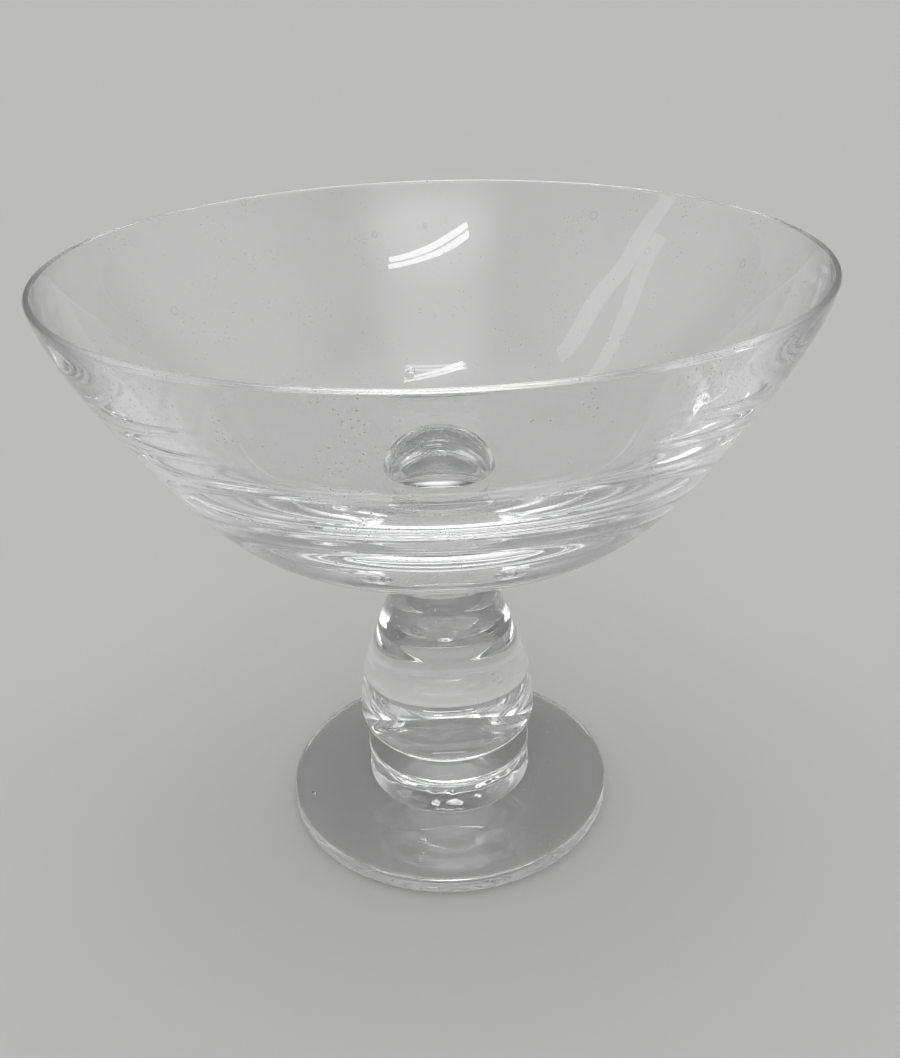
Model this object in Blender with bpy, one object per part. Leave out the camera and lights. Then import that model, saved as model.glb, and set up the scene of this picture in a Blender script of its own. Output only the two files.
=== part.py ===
"""A clear glass compote: a flared bowl on an egg-shaped stem, a thick collar and a round foot."""

from math import acos, comb, cos, exp, log, pi, radians, sin, tan

import bmesh
import bpy
from mathutils import Matrix, Vector

MM = 0.001

# The seam that is left open between two fused pieces.
SEAM = 0.3 * MM

# Facets around every turned piece, and steps along a rounded edge, a curve of the stem and the bowl's wall.
FACETS = 64
EDGE_STEPS = 5
STEM_STEPS = 7
WALL_STEPS = 24
CREASE_ANGLE = radians(35.0)
MERGE_DISTANCE = 0.001 * MM

# Foot: a flat disc with a softened edge, a little thicker where the collar stands on it.
FOOT_RADIUS = 57.6 * MM
FOOT_EDGE_HEIGHT = 6.4 * MM
FOOT_HEIGHT = 8.4 * MM
FOOT_EDGE_ROUND = 1.8 * MM

# Collar: a short solid drum with rounded edges.
COLLAR_RADIUS = 29.2 * MM
COLLAR_HEIGHT = 14.1 * MM
COLLAR_ROUND = 1.8 * MM

# Stem: an egg with its widest place near the bottom, drawn in to a neck that flares out under the bowl.
STEM_HEIGHT = 87.3 * MM
STEM_BASE_RADIUS = 17.5 * MM
EGG_RADIUS = 30.9 * MM
EGG_WIDEST = 13.8 * MM
EGG_DEPTH_BELOW = 13.9 * MM
EGG_HEIGHT_ABOVE = 49.0 * MM
EGG_SHOULDER = radians(33.0)
NECK_RADIUS = 16.5 * MM
NECK_HEIGHT = 71.9 * MM
JOINT_RADIUS = 18.5 * MM

# Bowl: the outer wall is one smooth curve from the stem to the rim, steered by three handles.
BOWL_HEIGHT = 85.8 * MM
RIM_RADIUS = 114.0 * MM
HEEL_HANDLE = (84.4 * MM, 1.4 * MM)
WALL_HANDLE = (69.5 * MM, 18.8 * MM)
LIP_HANDLE = (107.9 * MM, 56.6 * MM)

# Wall thickness of the bowl, by how far up the outer wall it is measured: 0 at the stem, 1 at the rim. The wall
# thins steadily from the floor to its shoulder, and more slowly, on a curve, from there to the rim.
FLOOR_THICKNESS = 16.0 * MM
RIM_THICKNESS = 2.2 * MM
WALL_SHOULDER = 0.75
SHOULDER_SOFTNESS = 0.03
UPPER_THINNING = 3.0 * MM
UPPER_BEND = 5.0

GLASS_COLOUR = (0.94, 0.96, 0.95, 1.0)
GLASS_ROUGHNESS = 0.02
GLASS_IOR = 1.5


def clear_scene():
    """Remove every object that the scene starts with."""
    for old in list(bpy.data.objects):
        bpy.data.objects.remove(old, do_unlink=True)


def glass(name):
    """A clear glass material of its own for one piece."""
    material = bpy.data.materials.new(name)
    material.use_nodes = True
    shader = material.node_tree.nodes["Principled BSDF"]
    shader.inputs["Base Color"].default_value = GLASS_COLOUR
    shader.inputs["Roughness"].default_value = GLASS_ROUGHNESS
    shader.inputs["Metallic"].default_value = 0.0
    shader.inputs["IOR"].default_value = GLASS_IOR
    shader.inputs["Transmission Weight"].default_value = 1.0
    return material


def arc(centre, radius, start, end, steps):
    """Points on an arc around centre, with start and end as angles from the outward direction."""
    turn = (end - start) / steps
    angles = [start + turn * step for step in range(steps + 1)]
    return [(centre[0] + radius * cos(angle), centre[1] + radius * sin(angle)) for angle in angles]


def oval(centre, half_width, half_height, start, end, steps):
    """Points on part of an ellipse around centre."""
    circle = arc((0.0, 0.0), 1.0, start, end, steps)
    return [(centre[0] + half_width * x, centre[1] + half_height * y) for x, y in circle]


def smooth_curve(handles, steps):
    """Points on the Bezier curve that starts and ends at the first and last handle."""
    order = len(handles) - 1
    points = []
    for step in range(steps + 1):
        t = step / steps
        shares = [comb(order, k) * t**k * (1.0 - t) ** (order - k) for k in range(order + 1)]
        points.append(tuple(sum(s * h[axis] for s, h in zip(shares, handles)) for axis in (0, 1)))
    return points


def wall_thickness(place):
    """The bowl's thickness at a place on its outer wall, from 0 at the stem to 1 at the rim."""
    upper = UPPER_THINNING * (1.0 - place**UPPER_BEND)
    lower = SHOULDER_SOFTNESS * log(1.0 + exp((WALL_SHOULDER - place) / SHOULDER_SOFTNESS)) / WALL_SHOULDER
    return RIM_THICKNESS + upper + (FLOOR_THICKNESS - RIM_THICKNESS - UPPER_THINNING) * lower


def inward_normals(points):
    """The unit direction that points into the bowl at each point of its outer wall, from stem to rim."""
    normals = []
    last = len(points) - 1
    for place in range(len(points)):
        before = Vector(points[max(place - 1, 0)])
        after = Vector(points[min(place + 1, last)])
        along = (after - before).normalized()
        normals.append(Vector((-along.y, along.x)))
    return normals


def turned_piece(name, profile, height, root):
    """Spin a profile of (radius, height) points into a closed solid that stands at the given height."""
    shape = bmesh.new()
    rings = [shape.verts.new((radius, 0.0, level)) for radius, level in profile]
    edges = [shape.edges.new(pair) for pair in zip(rings, rings[1:])]
    bmesh.ops.spin(
        shape,
        geom=rings + edges,
        cent=(0.0, 0.0, 0.0),
        axis=(0.0, 0.0, 1.0),
        angle=2.0 * pi,
        steps=FACETS,
        use_merge=True,
    )
    bmesh.ops.remove_doubles(shape, verts=shape.verts, dist=MERGE_DISTANCE)
    bmesh.ops.recalc_face_normals(shape, faces=shape.faces)
    mesh = bpy.data.meshes.new(name)
    shape.to_mesh(mesh)
    shape.free()
    mesh.shade_smooth()
    mesh.set_sharp_from_angle(angle=CREASE_ANGLE)
    mesh.materials.append(glass(name + "_glass"))
    piece = bpy.data.objects.new(name, mesh)
    bpy.context.scene.collection.objects.link(piece)
    piece.parent = root
    piece.matrix_local = Matrix.Translation((0.0, 0.0, height))
    return piece


def foot_profile():
    """Flat underside, softened edge and a top that rises gently to a flat seat for the collar."""
    soft = FOOT_EDGE_ROUND
    side = FOOT_RADIUS - soft
    lower_edge = arc((side, soft), soft, -pi / 2.0, 0.0, EDGE_STEPS)
    upper_edge = arc((side, FOOT_EDGE_HEIGHT - soft), soft, 0.0, pi / 2.0, EDGE_STEPS)
    seat = [(COLLAR_RADIUS, FOOT_HEIGHT), (0.0, FOOT_HEIGHT)]
    return [(0.0, 0.0)] + lower_edge + upper_edge + seat


def collar_profile():
    """A drum with rounded edges and flat ends."""
    soft = COLLAR_ROUND
    side = COLLAR_RADIUS - soft
    lower_edge = arc((side, soft), soft, -pi / 2.0, 0.0, EDGE_STEPS)
    upper_edge = arc((side, COLLAR_HEIGHT - soft), soft, 0.0, pi / 2.0, EDGE_STEPS)
    return [(0.0, 0.0)] + lower_edge + upper_edge + [(0.0, COLLAR_HEIGHT)]


def stem_profile():
    """A short base, the egg's underside and shoulder, and a neck that narrows and flares to the bowl."""
    middle = (0.0, EGG_WIDEST)
    under_start = -acos(STEM_BASE_RADIUS / EGG_RADIUS)
    underside = oval(middle, EGG_RADIUS, EGG_DEPTH_BELOW, under_start, 0.0, STEM_STEPS)
    shoulder = oval(middle, EGG_RADIUS, EGG_HEIGHT_ABOVE, 0.0, EGG_SHOULDER, STEM_STEPS)
    waist = shoulder[-1]
    taper = EGG_RADIUS * tan(EGG_SHOULDER) / EGG_HEIGHT_ABOVE
    waist_handle = (NECK_RADIUS, waist[1] + (waist[0] - NECK_RADIUS) / taper)
    narrowest = (NECK_RADIUS, NECK_HEIGHT)
    flare_handle = (NECK_RADIUS, (NECK_HEIGHT + STEM_HEIGHT) / 2.0)
    neck = smooth_curve([waist, waist_handle, narrowest], STEM_STEPS)
    flare = smooth_curve([narrowest, flare_handle, (JOINT_RADIUS, STEM_HEIGHT)], STEM_STEPS)
    base = [(0.0, 0.0), (STEM_BASE_RADIUS, 0.0)]
    return base + underside + shoulder[1:] + neck[1:] + flare[1:] + [(0.0, STEM_HEIGHT)]


def bowl_profile():
    """Thick flat floor, one sweeping wall that thins towards the rim, and a rounded rim."""
    handles = [(JOINT_RADIUS, 0.0), HEEL_HANDLE, WALL_HANDLE, LIP_HANDLE, (RIM_RADIUS, BOWL_HEIGHT)]
    outside = smooth_curve(handles, WALL_STEPS)
    inside = []
    for place, (point, normal) in enumerate(zip(outside, inward_normals(outside))):
        thickness = wall_thickness(place / WALL_STEPS)
        inside.append(tuple(Vector(point) + normal * thickness))
    outer_lip = Vector(outside[-1])
    inner_lip = Vector(inside[-1])
    middle = (outer_lip + inner_lip) / 2.0
    lean = (outer_lip - inner_lip).angle_signed(Vector((1.0, 0.0)))
    rim = arc(middle, RIM_THICKNESS / 2.0, lean, lean + pi, EDGE_STEPS)
    floor = [(0.0, inside[0][1])]
    return [(0.0, 0.0)] + outside[:-1] + rim + inside[-2::-1] + floor


def build():
    """Stand the four pieces on each other, with an open seam between neighbours."""
    clear_scene()
    root = bpy.data.objects.new("compote", None)
    bpy.context.scene.collection.objects.link(root)
    collar_seat = FOOT_HEIGHT + SEAM
    stem_seat = collar_seat + COLLAR_HEIGHT + SEAM
    bowl_seat = stem_seat + STEM_HEIGHT + SEAM
    turned_piece("foot", foot_profile(), 0.0, root)
    turned_piece("collar", collar_profile(), collar_seat, root)
    turned_piece("stem", stem_profile(), stem_seat, root)
    turned_piece("bowl", bowl_profile(), bowl_seat, root)


build()
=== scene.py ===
"""A clear glass compote, hand-turned from four gathers of glass, on a pale studio floor."""

from math import acos, comb, cos, exp, log, pi, radians, sin, tan

import bpy
from mathutils import Matrix, Quaternion, Vector


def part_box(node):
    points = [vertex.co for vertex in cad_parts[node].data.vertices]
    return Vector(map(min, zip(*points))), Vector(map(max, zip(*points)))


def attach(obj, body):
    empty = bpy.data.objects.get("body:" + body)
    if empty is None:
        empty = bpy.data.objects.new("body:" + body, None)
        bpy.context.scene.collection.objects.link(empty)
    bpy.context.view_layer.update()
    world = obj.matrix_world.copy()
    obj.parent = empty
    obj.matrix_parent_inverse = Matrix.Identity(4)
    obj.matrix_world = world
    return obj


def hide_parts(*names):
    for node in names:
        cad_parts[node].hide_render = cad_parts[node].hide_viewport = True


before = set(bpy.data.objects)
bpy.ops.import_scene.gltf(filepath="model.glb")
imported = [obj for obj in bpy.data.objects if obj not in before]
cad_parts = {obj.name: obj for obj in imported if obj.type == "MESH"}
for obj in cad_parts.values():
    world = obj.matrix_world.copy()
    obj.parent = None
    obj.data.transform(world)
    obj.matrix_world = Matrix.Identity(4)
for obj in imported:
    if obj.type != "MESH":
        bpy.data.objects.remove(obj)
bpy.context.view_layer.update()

MM = 0.001

# How finely the pieces are made: steps round the axis, round an edge, along the curves of each piece, and
# round and up a seed bubble.
ROUND_STEPS = 256
EDGE_STEPS = 8
STEM_STEPS = 44
SWEEP_STEPS = 20
OUTER_WALL_STEPS = 240
INNER_WALL_SHARE = 3
COLLAR_SIDE_STEPS = 24
BUBBLE_STEPS = (20, 12)

# Angle past which an edge stays sharp, distances that count as none, and how far the rim stays off its box.
CREASE_ANGLE = radians(38.0)
MERGE_DISTANCE = 0.0005 * MM
SAME_PLACE = 0.01 * MM
HAIR = 0.02 * MM

# Foot: a flat disc with a softened edge, drawn up a little to the collar.
FOOT_EDGE_HEIGHT = 6.4 * MM
FOOT_EDGE_ROUND = 1.8 * MM

# Collar: a short drum with rounded edges.
COLLAR_ROUND = 1.8 * MM

# Stem: an egg on a short base, drawn in to a neck that flares out under the bowl. Low beads run round its
# shoulder, where the neck was drawn out of the egg: height, rise and half width.
STEM_BASE_RADIUS = 17.5 * MM
EGG_WIDEST = 36.9 * MM
EGG_DEPTH_BELOW = 13.9 * MM
EGG_HEIGHT_ABOVE = 49.0 * MM
EGG_SHOULDER = radians(33.0)
NECK_RADIUS = 16.5 * MM
NECK_HEIGHT = 95.0 * MM
JOINT_RADIUS = 18.5 * MM
STEM_BEADS = (
    (73.3 * MM, 0.45 * MM, 1.7 * MM),
    (60.5 * MM, 0.15 * MM, 2.0 * MM),
)

# Bowl: handles that steer the outer wall, as (radius, height over the joint).
HEEL_HANDLE = (84.4 * MM, 1.4 * MM)
WALL_HANDLE = (69.5 * MM, 18.8 * MM)
LIP_HANDLE = (107.9 * MM, 56.6 * MM)
LIP_HEIGHT = 85.8 * MM

# The bowl's thickness, by how far up the outer wall it is measured: 0 at the stem, 1 at the rim. The wall
# thins steadily from the floor to its shoulder, and more slowly, on a curve, from there to the rim.
FLOOR_THICKNESS = 16.0 * MM
RIM_THICKNESS = 2.2 * MM
WALL_SHOULDER = 0.75
SHOULDER_SOFTNESS = 0.03
UPPER_THINNING = 3.0 * MM
UPPER_BEND = 5.0

# Waves that hand work leaves: their size, and how deep they sink the skin.
FOOT_WAVES = (13.0 * MM, 0.25 * MM)
COLLAR_WAVES = (7.0 * MM, 1.0 * MM)
STEM_WAVES = (14.0 * MM, 0.12 * MM)
BOWL_WAVES = (50.0 * MM, 0.03 * MM)

# Where the waves lie. On the foot they grow between two distances out of the collar, above its underside. On
# the collar they lie round a share of its side's height. On the stem they lie between two levels. On the bowl
# they grow from the first radius and level to the second.
FOOT_WAVES_OUT = (1.0 * MM, 7.0 * MM)
FOOT_UNDERSIDE = 1.0 * MM
COLLAR_WAVES_LEVEL = 0.65
COLLAR_WAVES_REACH = 1.0 / 3.2
STEM_WAVES_LEVELS = (30.0 * MM, 100.0 * MM)
BOWL_WAVES_RADII = (30.0 * MM, 50.0 * MM)
BOWL_WAVES_LEVELS = (180.0 * MM, 150.0 * MM)

# Seed bubbles: middle, and half size across, along and up.
FOOT_SEEDS = (
    ((-10.3 * MM, -37.6 * MM, 4.2 * MM), (1.3 * MM, 1.0 * MM, 0.8 * MM)),
    ((-10.0 * MM, -44.0 * MM, 3.8 * MM), (0.9 * MM, 0.8 * MM, 0.7 * MM)),
    ((-11.0 * MM, -46.4 * MM, 3.9 * MM), (1.2 * MM, 0.8 * MM, 0.8 * MM)),
    ((-50.0 * MM, -11.6 * MM, 3.9 * MM), (0.9 * MM, 1.1 * MM, 0.7 * MM)),
)
STEM_SEEDS = (
    ((-2.9 * MM, -15.0 * MM, 84.3 * MM), (0.35 * MM, 0.35 * MM, 0.7 * MM)),
    ((-2.7 * MM, -16.2 * MM, 80.3 * MM), (0.35 * MM, 0.35 * MM, 0.6 * MM)),
    ((6.8 * MM, -12.6 * MM, 88.4 * MM), (0.3 * MM, 0.3 * MM, 0.9 * MM)),
)
BOWL_SEEDS = (((-9.5 * MM, 71.8 * MM, 135.5 * MM), (1.6 * MM, 1.3 * MM, 1.3 * MM)),)

# Glass: its bend of light, its tint where clean and where dulled, and for each piece a shift of its
# patterns, the threads to the metre in its skin along each axis, and their depth.
GLASS_BEND = 1.5
CLEAN_TINT = (0.991, 0.995, 0.993, 1.0)
DULL_TINT = (0.7, 0.71, 0.7, 1.0)
BOWL_SKIN = ((0.0, 0.0, 0.0), (6.0, 6.0, 400.0), 0.001 * MM)
STEM_SKIN = ((3.0, 1.0, 0.0), (260.0, 260.0, 14.0), 0.016 * MM)
COLLAR_SKIN = ((5.0, 2.0, 0.0), (140.0, 140.0, 140.0), 0.02 * MM)
FOOT_SKIN = ((7.0, 4.0, 0.0), (120.0, 120.0, 120.0), 0.01 * MM)

# Marks on the glass: how many to the metre, and how much each dulls and roughens it. A dried water spot is a
# ring of a radius and edge given in shares of the spots' distance, and only some of the spots are there.
SMEARS_TO_METRE = (22.0, 22.0, 34.0)
SPOTS_TO_METRE = (48.0, 48.0, 48.0)
DUST_TO_METRE = (520.0, 520.0, 520.0)
DUST_PATCHES_TO_METRE = (60.0, 60.0, 60.0)
SPOT_RADIUS = 0.07
SPOT_EDGE = (0.022, 0.004)
SPOTS_MISSING = 0.62
SMEAR_DULLS, SMEAR_ROUGHENS = 0.14, 0.03
SPOT_DULLS, SPOT_ROUGHENS = 0.6, 0.12
DUST_DULLS, DUST_ROUGHENS = 0.55, 0.4

# Floor: how far it reaches, how far it lies under the foot, and its colour.
FLOOR_RADIUS = 15.0
FLOOR_GAP = 0.2 * MM
FLOOR_COLOUR = (0.7, 0.7, 0.695, 1.0)

# Camera, fitted to the ellipses of the rim and the foot.
CAMERA_PLACE = (0.0, -0.3202, 0.2751)
CAMERA_PITCH = radians(27.84)
CAMERA_YAW = radians(0.5)
CAMERA_ROLL = radians(-1.75)
CAMERA_LENS = 37.19
SENSOR_WIDTH = 36.0
LIGHT_BOUNCES = 64

# The room: an even glow, dim sides of it by direction, full and fading half angle and share of the glow
# that they take, and soft pools of light by direction, full and fading half angle and glow. The camera
# itself sees a plain backdrop instead. A glow of 1 is lit white paper.
BACKDROP_GLOW = 0.48
ROOM_GLOW = 0.27
DIM_SIDES = (
    ((0.0, -1.0, 0.2), 10.0, 40.0, 0.65),
    ((0.0, 1.0, 0.95), 6.0, 24.0, 0.4),
)
ROOM_POOLS = (
    ((0.0, 0.1, 1.0), 5.0, 38.0, 1.35),
    ((-1.0, 0.05, 0.6), 6.0, 40.0, 0.4),
    ((1.0, 0.1, 0.6), 6.0, 40.0, 0.4),
    ((0.0, -1.0, 0.8), 6.0, 26.0, 1.6),
)

# Lamps: name, width and height, place, turn on their own axis and glow of the face.
LIGHT_TARGET = (0.0, 0.0, 0.12)
LAMPS = (
    ("front_tube", (0.67, 0.035), (0.025, -0.93, 1.4), 14.0, 9.0),
    ("front_tube_twin", (0.67, 0.035), (0.025, -0.87, 1.4), 14.0, 9.0),
    ("top_tube", (0.4, 0.04), (0.0, -0.23, 1.4), 0.0, 4.0),
    ("top_tube_twin", (0.4, 0.04), (0.0, -0.17, 1.4), 0.0, 4.0),
    ("left_window", (0.16, 0.9), (-1.25, 0.02, 1.15), 0.0, 1.4),
    ("back_strip", (0.6, 0.06), (0.0, 1.6, 0.25), 0.0, 1.0),
)


class Wire:
    """An output of a node. Arithmetic on wires adds Math nodes to the sheet that they belong to."""

    def __init__(self, sheet, socket):
        self.sheet = sheet
        self.socket = socket

    def math(self, operation, *terms):
        return self.sheet.node("Math", {"operation": operation}, dict(enumerate(terms)))

    def __add__(self, other):
        return self.math("ADD", self, other)

    def __sub__(self, other):
        return self.math("SUBTRACT", self, other)

    def __rsub__(self, other):
        return self.math("SUBTRACT", other, self)

    def __mul__(self, other):
        return self.math("MULTIPLY", self, other)

    def __gt__(self, other):
        return self.math("GREATER_THAN", self, other)

    def __abs__(self):
        return self.math("ABSOLUTE", self)

    __radd__ = __add__
    __rmul__ = __mul__


class Sheet:
    """A node tree that nodes are added to."""

    def __init__(self, tree):
        self.tree = tree

    def feed(self, socket, value):
        """Link a wire to a socket, or set the socket to a plain value."""
        if isinstance(value, Wire):
            self.tree.links.new(value.socket, socket)
        else:
            socket.default_value = value

    def node(self, kind, settings=None, sockets=None, output=0):
        """Add a node, set it up, then feed its sockets. The wire of one of its outputs comes back."""
        node = self.tree.nodes.new("ShaderNode" + kind)
        for setting, value in (settings or {}).items():
            setattr(node, setting, value)
        for socket, value in (sockets or {}).items():
            self.feed(node.inputs[socket], value)
        return Wire(self, node.outputs[output])

    def between(self, value, low, high, start=0.0, end=1.0):
        """Ease a value's change from low to high into a change from start to end."""
        settings = {"interpolation_type": "SMOOTHSTEP"}
        ends = {"Value": value, "From Min": low, "From Max": high, "To Min": start, "To Max": end}
        return self.node("MapRange", settings, ends)


class Finish(Sheet):
    """A new material with one Principled shader, whose constants are set on the shader itself."""

    def __init__(self, name, constants):
        self.material = bpy.data.materials.new(name)
        self.material.use_nodes = True
        super().__init__(self.material.node_tree)
        self.shader = self.tree.nodes["Principled BSDF"]
        for socket, value in constants.items():
            self.shader.inputs[socket].default_value = value

    def set(self, socket, wire):
        """Let a wire drive one of the shader's sockets."""
        self.feed(self.shader.inputs[socket], wire)

    def place(self, shift, scale):
        """Places on the piece, shifted and scaled for a pattern."""
        spot = self.node("TexCoord", output="Object")
        return self.node("Mapping", sockets={"Vector": spot, "Location": shift, "Scale": scale})

    def clouds(self, shift, scale, detail):
        """Soft cloudy values from 0 to 1, with so many clouds to the metre along each axis."""
        sockets = {"Vector": self.place(shift, scale), "Scale": 1.0, "Detail": detail, "Roughness": 0.55}
        return self.node("TexNoise", sockets=sockets)


def arc(centre, radius, start, end, steps):
    """Points on an arc around centre, with start and end as angles from the outward direction."""
    turn = (end - start) / steps
    angles = [start + turn * step for step in range(steps + 1)]
    return [(centre[0] + radius * cos(angle), centre[1] + radius * sin(angle)) for angle in angles]


def oval(centre, half_width, half_height, start, end, steps):
    """Points on part of an ellipse around centre."""
    circle = arc((0.0, 0.0), 1.0, start, end, steps)
    return [(centre[0] + half_width * x, centre[1] + half_height * y) for x, y in circle]


def smooth_curve(handles, steps):
    """Points on the Bezier curve that starts and ends at the first and last handle."""
    order = len(handles) - 1
    points = []
    for step in range(steps + 1):
        t = step / steps
        shares = [comb(order, k) * t**k * (1.0 - t) ** (order - k) for k in range(order + 1)]
        points.append(tuple(sum(s * h[axis] for s, h in zip(shares, handles)) for axis in (0, 1)))
    return points


def wall_thickness(place):
    """The bowl's thickness at a place on its outer wall, from 0 at the stem to 1 at the rim."""
    upper = UPPER_THINNING * (1.0 - place**UPPER_BEND)
    lower = SHOULDER_SOFTNESS * log(1.0 + exp((WALL_SHOULDER - place) / SHOULDER_SOFTNESS)) / WALL_SHOULDER
    return RIM_THICKNESS + upper + (FLOOR_THICKNESS - RIM_THICKNESS - UPPER_THINNING) * lower


def hump(value, middle, half_width):
    """A smooth hump of height 1 round a middle value."""
    return exp(-(((value - middle) / half_width) ** 2))


def ramp(value, start, end):
    """0 before start, 1 past end, and a straight change between."""
    return min(max((value - start) / (end - start), 0.0), 1.0)


def raised(level, rings):
    """How far rings of (height, rise, half width) stand up at a level."""
    return sum(rise * hump(level, height, half_width) for height, rise, half_width in rings)


def inward_normals(points):
    """The unit direction that points into the bowl at each point of its outer wall, from stem to rim."""
    normals = []
    last = len(points) - 1
    for place in range(len(points)):
        before = Vector(points[max(place - 1, 0)])
        after = Vector(points[min(place + 1, last)])
        along = (after - before).normalized()
        normals.append(Vector((-along.y, along.x)))
    return normals


def joint_height(lower, upper):
    """The level where two pieces are fused: halfway in the seam that the frame leaves open."""
    return (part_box(lower)[1].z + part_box(upper)[0].z) / 2.0


def turned(name, profile):
    """Draw a profile of (radius, height) corners and spin it round the upright axis into a closed solid."""
    bpy.ops.object.select_all(action="DESELECT")
    bpy.ops.mesh.primitive_plane_add(size=MM)
    piece = bpy.context.object
    piece.name = piece.data.name = name
    bpy.ops.object.mode_set(mode="EDIT")
    bpy.ops.mesh.merge(type="CENTER")
    bpy.ops.transform.translate(value=(profile[0][0], 0.0, profile[0][1]))
    for here, there in zip(profile, profile[1:]):
        step = (there[0] - here[0], 0.0, there[1] - here[1])
        bpy.ops.mesh.extrude_region_move(TRANSFORM_OT_translate={"value": step})
    bpy.ops.mesh.select_all(action="SELECT")
    bpy.ops.mesh.spin(steps=ROUND_STEPS, angle=2.0 * pi, center=(0.0, 0.0, 0.0), axis=(0.0, 0.0, 1.0))
    bpy.ops.mesh.select_all(action="SELECT")
    bpy.ops.mesh.remove_doubles(threshold=MERGE_DISTANCE)
    bpy.ops.mesh.normals_make_consistent(inside=False)
    bpy.ops.object.mode_set(mode="OBJECT")
    bpy.ops.object.shade_smooth_by_angle(angle=CREASE_ANGLE)
    return piece


def ripple(piece, name, waves, share):
    """Sink the surface in waves of a size and depth, where share of a radius and level is over 0."""
    reach = piece.vertex_groups.new(name=name)
    for corner in piece.data.vertices:
        weight = share(Vector(corner.co.xy).length, corner.co.z)
        if weight > 0.0:
            reach.add([corner.index], weight, "REPLACE")
    clouds = bpy.data.textures.new(name, "CLOUDS")
    clouds.noise_scale, depth = waves
    clouds.noise_depth = 1
    bpy.ops.object.select_all(action="DESELECT")
    bpy.context.view_layer.objects.active = piece
    piece.select_set(True)
    sink = piece.modifiers.new(name, "DISPLACE")
    sink.texture = clouds
    sink.texture_coords = "LOCAL"
    sink.vertex_group = name
    sink.mid_level = 1.0
    sink.strength = depth
    bpy.ops.object.modifier_apply(modifier=name)
    piece.vertex_groups.clear()


def seed_bubbles(piece, seeds):
    """Enclose small air bubbles in the glass of a piece, with their faces turned to the air in them."""
    bubbles = []
    round_steps, upright_steps = BUBBLE_STEPS
    for middle, half_size in seeds:
        bpy.ops.object.select_all(action="DESELECT")
        bpy.ops.mesh.primitive_uv_sphere_add(segments=round_steps, ring_count=upright_steps, radius=1.0)
        bubbles.append(bpy.context.object)
        bpy.ops.object.mode_set(mode="EDIT")
        bpy.ops.transform.resize(value=half_size)
        bpy.ops.transform.translate(value=middle)
        bpy.ops.mesh.flip_normals()
        bpy.ops.object.mode_set(mode="OBJECT")
        bpy.ops.object.shade_smooth()
    bpy.ops.object.select_all(action="DESELECT")
    for bubble in bubbles:
        bubble.select_set(True)
    piece.select_set(True)
    bpy.context.view_layer.objects.active = piece
    bpy.ops.object.join()


def finish_piece(piece, glass, seam, joints):
    """Put glass on a piece, and the fused finish inside the rings (level, radius) where it joins others."""
    piece.data.materials.append(glass)
    piece.data.materials.append(seam)
    for face in piece.data.polygons:
        middle = face.center
        out = Vector(middle.xy).length
        fused = any(abs(middle.z - level) < SAME_PLACE and out < radius for level, radius in joints)
        face.material_index = 1 if fused else 0
    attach(piece, "root")
    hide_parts(piece.name.removesuffix("_glass"))


def foot_profile(top):
    """Flat underside, softened edge, and a top that rises in a shallow sweep to the collar."""
    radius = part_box("foot")[1].x
    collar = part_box("collar")[1].x - COLLAR_ROUND
    soft = FOOT_EDGE_ROUND
    side = radius - soft
    lower_edge = arc((side, soft), soft, -pi / 2.0, 0.0, EDGE_STEPS)
    upper_edge = arc((side, FOOT_EDGE_HEIGHT - soft), soft, 0.0, pi / 2.0, EDGE_STEPS)
    middle = ((side + collar) / 2.0, FOOT_EDGE_HEIGHT)
    sweep = smooth_curve([(side, FOOT_EDGE_HEIGHT), middle, (collar, top)], SWEEP_STEPS)
    return [(0.0, 0.0)] + lower_edge + upper_edge + sweep[1:] + [(0.0, top)]


def collar_profile(bottom, top):
    """A drum with rounded edges and flat ends."""
    soft = COLLAR_ROUND
    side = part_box("collar")[1].x - soft
    lower_edge = arc((side, bottom + soft), soft, -pi / 2.0, 0.0, EDGE_STEPS)
    upper_edge = arc((side, top - soft), soft, 0.0, pi / 2.0, EDGE_STEPS)
    rise = (top - bottom - 2.0 * soft) / COLLAR_SIDE_STEPS
    wall = [(side + soft, bottom + soft + rise * step) for step in range(1, COLLAR_SIDE_STEPS)]
    seat = [(STEM_BASE_RADIUS, top), (0.0, top)]
    return [(0.0, bottom)] + lower_edge + wall + upper_edge + seat


def stem_profile(bottom, top):
    """A short base, the egg's underside and ridged shoulder, and a neck that flares to the bowl."""
    middle = (0.0, EGG_WIDEST)
    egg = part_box("stem")[1].x
    under_start = -acos(STEM_BASE_RADIUS / egg)
    underside = oval(middle, egg, EGG_DEPTH_BELOW, under_start, 0.0, STEM_STEPS)
    shoulder = oval(middle, egg, EGG_HEIGHT_ABOVE, 0.0, EGG_SHOULDER, STEM_STEPS)
    waist = shoulder[-1]
    taper = egg * tan(EGG_SHOULDER) / EGG_HEIGHT_ABOVE
    waist_handle = (NECK_RADIUS, waist[1] + (waist[0] - NECK_RADIUS) / taper)
    narrowest = (NECK_RADIUS, NECK_HEIGHT)
    flare_handle = (NECK_RADIUS, (NECK_HEIGHT + top) / 2.0)
    neck = smooth_curve([waist, waist_handle, narrowest], STEM_STEPS)
    flare = smooth_curve([narrowest, flare_handle, (JOINT_RADIUS, top)], SWEEP_STEPS)
    side = underside + shoulder[1:] + neck[1:]
    beaded = [(radius + raised(level, STEM_BEADS), level) for radius, level in side]
    return [(0.0, bottom), (STEM_BASE_RADIUS, bottom)] + beaded + flare[1:] + [(0.0, top)]


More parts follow.
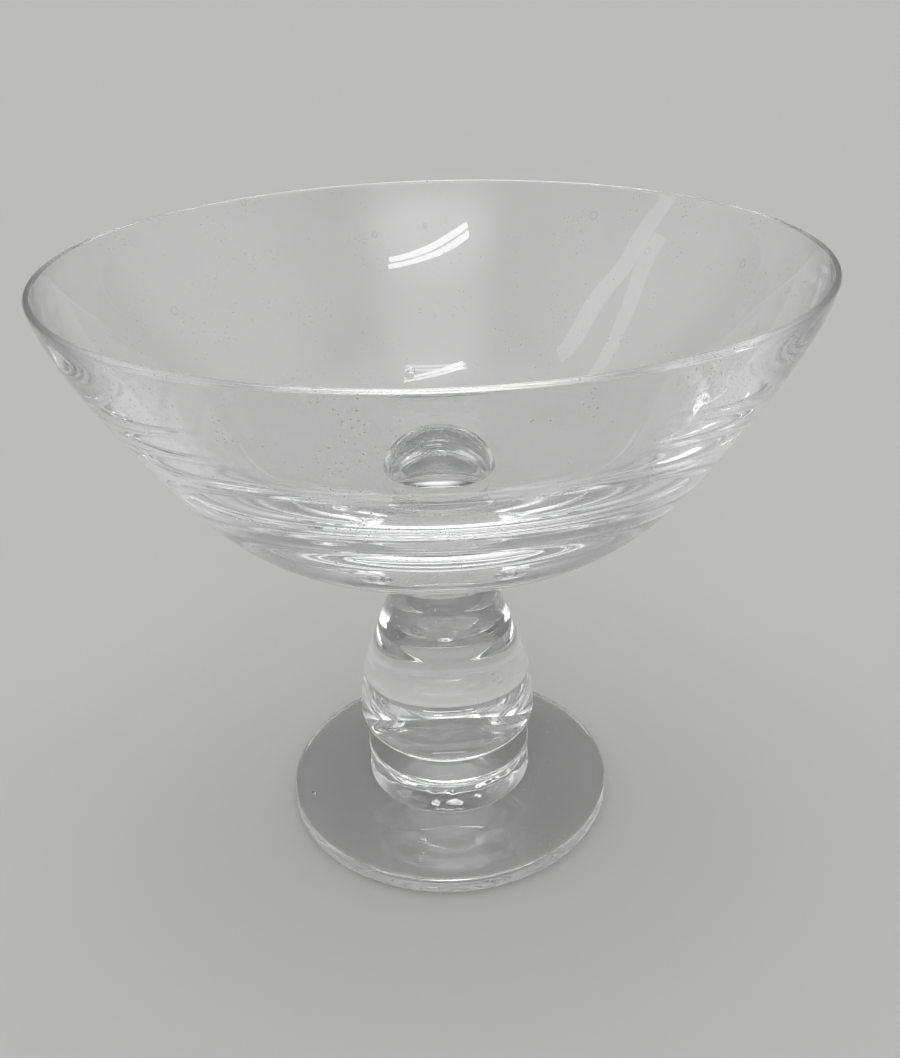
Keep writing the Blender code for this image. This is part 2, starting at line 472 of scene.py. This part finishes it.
def bowl_profile(bottom):
    """Thick flat floor, one sweeping wall that thins towards the rim, and a rounded rim."""
    lip = (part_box("bowl")[1].x - HAIR, LIP_HEIGHT)
    handles = [(JOINT_RADIUS, 0.0), HEEL_HANDLE, WALL_HANDLE, LIP_HANDLE, lip]
    outside = [Vector(point) for point in smooth_curve(handles, OUTER_WALL_STEPS)]
    normals = inward_normals(outside)
    inside = []
    for place in range(0, OUTER_WALL_STEPS + 1, INNER_WALL_SHARE):
        inside.append(outside[place] + normals[place] * wall_thickness(place / OUTER_WALL_STEPS))
    middle = (outside[-1] + inside[-1]) / 2.0
    lean = (outside[-1] - inside[-1]).angle_signed(Vector((1.0, 0.0)))
    rim = arc(middle, RIM_THICKNESS / 2.0, lean, lean + pi, EDGE_STEPS)
    wall = [tuple(point) for point in outside[:-1]] + rim + [tuple(point) for point in inside[-2::-1]]
    lifted = [(radius, bottom + height) for radius, height in wall]
    return [(0.0, bottom)] + lifted + [(0.0, lifted[-1][1])]


def clear_glass(name, shift, striae, striae_depth):
    """Clear glass with faint striae in its skin, wiping smears, dried water spots and a little dust."""
    finish = Finish(name, {"IOR": GLASS_BEND, "Transmission Weight": 1.0})
    smears = finish.between(finish.clouds(shift, SMEARS_TO_METRE, 4.0), 0.52, 0.75)
    spot_place = finish.place(shift, SPOTS_TO_METRE)
    spot_reach = finish.node("TexVoronoi", sockets={"Vector": spot_place, "Scale": 1.0})
    spot_colour = finish.node("TexVoronoi", sockets={"Vector": spot_place, "Scale": 1.0}, output="Color")
    spot_chance = finish.node("SeparateColor", sockets={"Color": spot_colour})
    spot_rings = finish.between(abs(spot_reach - SPOT_RADIUS), *SPOT_EDGE) * (spot_chance > SPOTS_MISSING)
    dust_place = finish.place(shift, DUST_TO_METRE)
    dust_reach = finish.node("TexVoronoi", sockets={"Vector": dust_place, "Scale": 1.0})
    dust_cover = finish.between(finish.clouds(shift, DUST_PATCHES_TO_METRE, 2.0), 0.4, 0.65)
    dust = finish.between(dust_reach, 0.2, 0.1) * dust_cover
    dull = smears * SMEAR_DULLS + spot_rings * SPOT_DULLS + dust * DUST_DULLS
    tint = finish.node("Mix", {"data_type": "RGBA"}, {0: dull, 6: CLEAN_TINT, 7: DULL_TINT}, output=2)
    finish.set("Base Color", tint)
    finish.set("Roughness", smears * SMEAR_ROUGHENS + spot_rings * SPOT_ROUGHENS + dust * DUST_ROUGHENS)
    threads = finish.clouds(shift, striae, 2.0)
    skin = finish.node("Bump", sockets={"Strength": 1.0, "Distance": striae_depth, "Height": threads})
    finish.set("Normal", skin)
    return finish.material


def fused_seam():
    """The face between two fused pieces, which light crosses as if it were not there."""
    finish = Finish("fused_seam", {"Alpha": 0.0})
    return finish.material


def floor_paper():
    """Pale matt studio paper."""
    finish = Finish("floor_paper", {"Base Color": FLOOR_COLOUR, "Roughness": 0.9})
    finish.shader.inputs["Specular IOR Level"].default_value = 0.1
    return finish.material


def build_compote():
    """Model the four pieces, from the foot up, so that each is fused to the next at the same ring."""
    foot_top = joint_height("foot", "collar")
    collar_top = joint_height("collar", "stem")
    stem_top = joint_height("stem", "bowl")
    collar_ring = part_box("collar")[1].x - COLLAR_ROUND
    foot = turned("foot_glass", foot_profile(foot_top))
    collar = turned("collar_glass", collar_profile(foot_top, collar_top))
    stem = turned("stem_glass", stem_profile(collar_top, stem_top))
    bowl = turned("bowl_glass", bowl_profile(stem_top))
    ripple_pieces(foot, collar, stem, bowl)
    seed_bubbles(foot, FOOT_SEEDS)
    seed_bubbles(stem, STEM_SEEDS)
    seed_bubbles(bowl, BOWL_SEEDS)
    seam = fused_seam()
    foot_joint = (foot_top, collar_ring)
    collar_joint = (collar_top, STEM_BASE_RADIUS)
    stem_joint = (stem_top, JOINT_RADIUS)
    finish_piece(foot, clear_glass("foot_glass", *FOOT_SKIN), seam, [foot_joint])
    finish_piece(collar, clear_glass("collar_glass", *COLLAR_SKIN), seam, [foot_joint, collar_joint])
    finish_piece(stem, clear_glass("stem_glass", *STEM_SKIN), seam, [collar_joint, stem_joint])
    finish_piece(bowl, clear_glass("bowl_glass", *BOWL_SKIN), seam, [stem_joint])


def ripple_pieces(foot, collar, stem, bowl):
    """Give each piece the unevenness of hand work, and leave the fused rings, the rim and the base true."""
    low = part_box("collar")[0].z + COLLAR_ROUND
    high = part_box("collar")[1].z - COLLAR_ROUND
    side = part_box("collar")[1].x
    middle = low + COLLAR_WAVES_LEVEL * (high - low)

    def foot_skin(radius, level):
        out = radius - side
        return ramp(out, *FOOT_WAVES_OUT) if level > FOOT_UNDERSIDE else 0.0

    def collar_side(radius, level):
        return hump(level, middle, (high - low) * COLLAR_WAVES_REACH) if radius > side - SAME_PLACE else 0.0

    def stem_side(radius, level):
        lowest, highest = STEM_WAVES_LEVELS
        return 1.0 if lowest < level < highest and radius > NECK_RADIUS else 0.0

    def bowl_wall(radius, level):
        return min(ramp(radius, *BOWL_WAVES_RADII), ramp(level, *BOWL_WAVES_LEVELS))

    ripple(foot, "foot_ripple", FOOT_WAVES, foot_skin)
    ripple(collar, "collar_ripple", COLLAR_WAVES, collar_side)
    ripple(stem, "stem_ripple", STEM_WAVES, stem_side)
    ripple(bowl, "bowl_ripple", BOWL_WAVES, bowl_wall)


def studio_floor():
    """A wide paper floor, a hair under the foot."""
    floor = turned("studio_floor", [(0.0, -FLOOR_GAP), (FLOOR_RADIUS, -FLOOR_GAP)])
    floor.data.materials.append(floor_paper())


def lamp(name, size, place, turn, glow):
    """A rectangular lamp that faces the compote and shows in the glass, but doesn't light the floor."""
    bpy.ops.object.light_add(type="AREA", location=place)
    light = bpy.context.object
    light.name = light.data.name = name
    light.data.shape = "RECTANGLE"
    light.data.size, light.data.size_y = size
    light.data.energy = glow * pi * size[0] * size[1]
    facing = (Vector(LIGHT_TARGET) - Vector(place)).to_track_quat("-Z", "Y")
    light.rotation_euler = (facing @ Quaternion((0.0, 0.0, 1.0), radians(turn))).to_euler()
    light.visible_camera = False
    light.visible_diffuse = False


def studio_light():
    """A pale room with soft pools of light above and around the compote, and a few narrow lamps."""
    world = bpy.data.worlds.new("studio_room")
    world.use_nodes = True
    bpy.context.scene.world = world
    sheet = Sheet(world.node_tree)
    toward = sheet.node("TexCoord", output="Generated")

    def pool(direction, full, fade, glow):
        aim = tuple(Vector(direction).normalized())
        nearness = sheet.node("VectorMath", {"operation": "DOT_PRODUCT"}, {0: toward, 1: aim}, "Value")
        return sheet.between(nearness, cos(radians(fade)), cos(radians(full)), 0.0, glow)

    glow = ROOM_GLOW
    for side in DIM_SIDES:
        glow = glow * (1.0 - pool(*side))
    glow = sum((pool(*light) for light in ROOM_POOLS), glow)
    seen = sheet.node("LightPath", output="Is Camera Ray")
    glow = glow + seen * (BACKDROP_GLOW - glow)
    sheet.feed(world.node_tree.nodes["Background"].inputs["Strength"], glow)
    sheet.feed(world.node_tree.nodes["Background"].inputs["Color"], (1.0, 1.0, 1.0, 1.0))
    for light in LAMPS:
        lamp(*light)


def photo_camera():
    """The camera stands in front of the compote and looks down on it."""
    level_share = cos(CAMERA_PITCH)
    ahead = Vector((sin(CAMERA_YAW) * level_share, cos(CAMERA_YAW) * level_share, -sin(CAMERA_PITCH)))
    level = ahead.cross(Vector((0.0, 0.0, 1.0))).normalized()
    upward = level.cross(ahead)
    right = level * cos(CAMERA_ROLL) + upward * sin(CAMERA_ROLL)
    up = upward * cos(CAMERA_ROLL) - level * sin(CAMERA_ROLL)
    bpy.ops.object.camera_add(location=CAMERA_PLACE)
    camera = bpy.context.object
    camera.data.lens = CAMERA_LENS
    camera.data.sensor_width = SENSOR_WIDTH
    camera.rotation_euler = Matrix((right, up, -ahead)).transposed().to_euler()
    bpy.context.scene.camera = camera


def light_paths():
    """Let light cross the thick glass and its fused seams as often as it needs."""
    cycles = bpy.context.scene.cycles
    cycles.max_bounces = LIGHT_BOUNCES
    cycles.glossy_bounces = LIGHT_BOUNCES
    cycles.transmission_bounces = LIGHT_BOUNCES
    cycles.transparent_max_bounces = LIGHT_BOUNCES


build_compote()
studio_floor()
studio_light()
photo_camera()
light_paths()
bpy.context.scene.view_settings.view_transform = "Standard"
